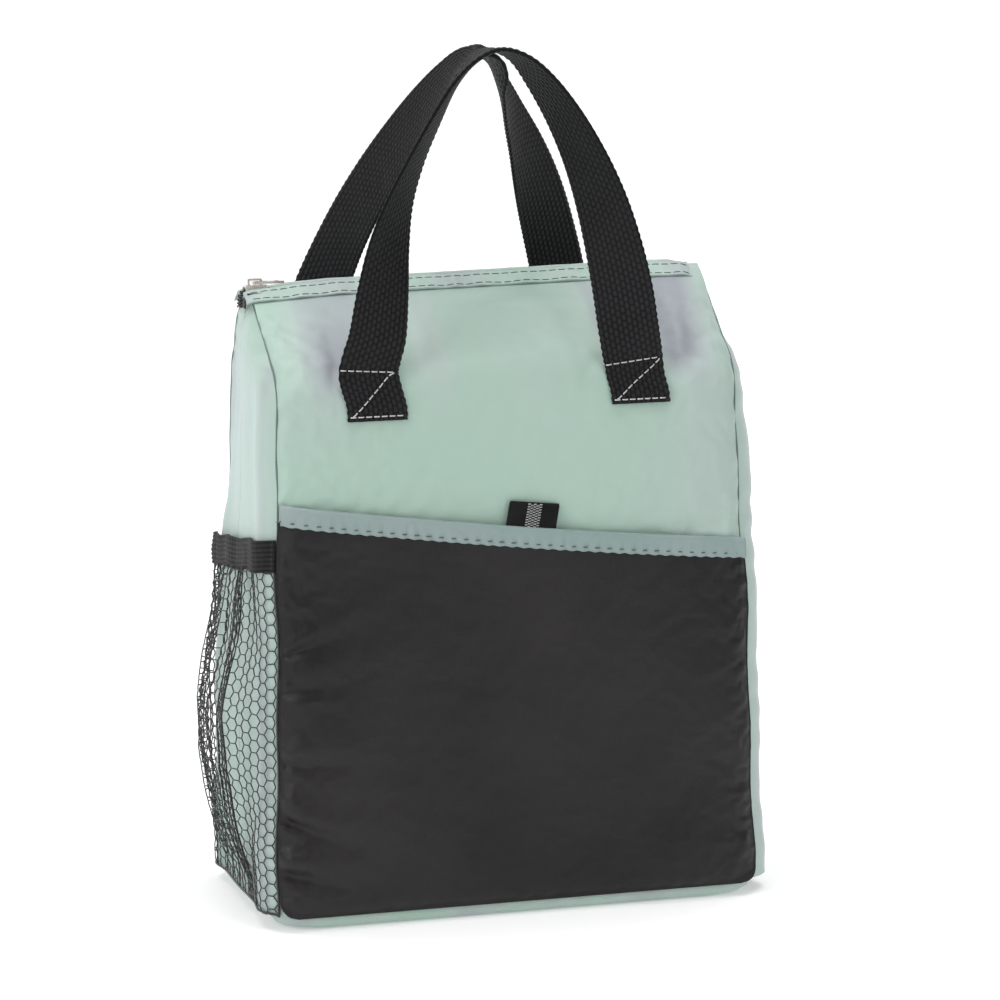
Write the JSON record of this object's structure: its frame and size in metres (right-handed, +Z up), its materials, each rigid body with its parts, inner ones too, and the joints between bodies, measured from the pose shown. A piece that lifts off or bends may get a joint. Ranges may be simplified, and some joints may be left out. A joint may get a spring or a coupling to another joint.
{
  "type": "insulated cooler bag",
  "caption": "Soft upright lunch cooler with a tent-shaped zip top, webbing carry handles, a slanted front slip pocket and a mesh side pocket.",
  "frame": {"origin": "middle of the bottom panel, on the surface the bag stands on", "axes": "+X right along the front panel, the front pocket faces -Y, +Z up"},
  "size_m": [0.2212, 0.137, 0.3545],
  "materials": {
    "mint_fabric": "satin polyester, fine plain weave",
    "pocket_fabric": "matte polyester",
    "webbing": "coarse polypropylene webbing",
    "mesh": "open knitted mesh",
    "elastic": "ribbed elastic",
    "thread_white": "polyester thread",
    "thread_dark": "polyester thread",
    "foam": "closed-cell insulating foam",
    "liner": "wipe-clean silver film",
    "zip_black": "nylon coil on woven tape",
    "zip_metal": "worn nickel plate"
  },
  "bodies": {
    "bag": {"back_foam": "foam", "back_left_patch": "webbing", "back_liner": "liner", "back_outer": "mint_fabric", "back_patch_threads": "thread_white", "back_right_patch": "webbing", "base_foam": "foam", "base_liner": "liner", "base_outer": "mint_fabric", "binding_seam": "thread_dark", "front_foam": "foam", "front_left_patch": "webbing", "front_liner": "liner", "front_outer": "mint_fabric", "front_patch_threads": "thread_white", "front_right_patch": "webbing", "left_gusset_foam": "foam", "left_gusset_liner": "liner", "left_gusset_outer": "mint_fabric", "left_zip_tail": "zip_black", "loop_tab": "webbing", "mesh_elastic": "elastic", "mesh_pocket": "mesh", "pocket_binding": "mint_fabric", "pocket_panel": "pocket_fabric", "right_gusset_foam": "foam", "right_gusset_liner": "liner", "right_gusset_outer": "mint_fabric", "right_zip_tail": "zip_black"},
    "front_flap": {"front_facing_lower_seam": "thread_dark", "front_facing_upper_seam": "thread_dark", "front_flap_foam": "foam", "front_flap_liner": "liner", "front_flap_outer": "mint_fabric", "front_zip_coil": "zip_black", "front_zip_facing": "mint_fabric", "front_zip_tape": "zip_black"},
    "back_flap": {"back_facing_lower_seam": "thread_dark", "back_facing_upper_seam": "thread_dark", "back_flap_foam": "foam", "back_flap_liner": "liner", "back_flap_outer": "mint_fabric", "back_zip_coil": "zip_black", "back_zip_facing": "mint_fabric", "back_zip_tape": "zip_black"},
    "front_strap": {"front_handle": "webbing"},
    "back_strap": {"back_handle": "webbing"},
    "slider": {"slider_body": "zip_metal", "slider_crown": "zip_metal"},
    "pull": {"slider_pull": "zip_metal"}
  },
  "joints": [
    {"name": "front_mouth", "type": "hinge", "parent": "bag", "child": "front_flap", "pos_m": [0, -0.062, 0.224], "axis": [1, 0, 0], "range_deg": [0, 22]},
    {"name": "back_mouth", "type": "hinge", "parent": "bag", "child": "back_flap", "pos_m": [0, 0.062, 0.224], "axis": [-1, 0, 0], "range_deg": [0, 22]},
    {"name": "front_handle_swing", "type": "hinge", "parent": "bag", "child": "front_strap", "pos_m": [0, -0.0631, 0.2246], "axis": [1, 0, 0], "range_deg": [0, 145]},
    {"name": "back_handle_swing", "type": "hinge", "parent": "bag", "child": "back_strap", "pos_m": [0, 0.0631, 0.2246], "axis": [-1, 0, 0], "range_deg": [0, 145]},
    {"name": "zip_slide", "type": "slide", "parent": "bag", "child": "slider", "axis": [1, 0, 0], "range_m": [0, 0.178]},
    {"name": "pull_swing", "type": "hinge", "parent": "slider", "child": "pull", "pos_m": [-0.0915, 0, 0.2589], "axis": [0, -1, 0], "range_deg": [0, 170]}
  ]
}
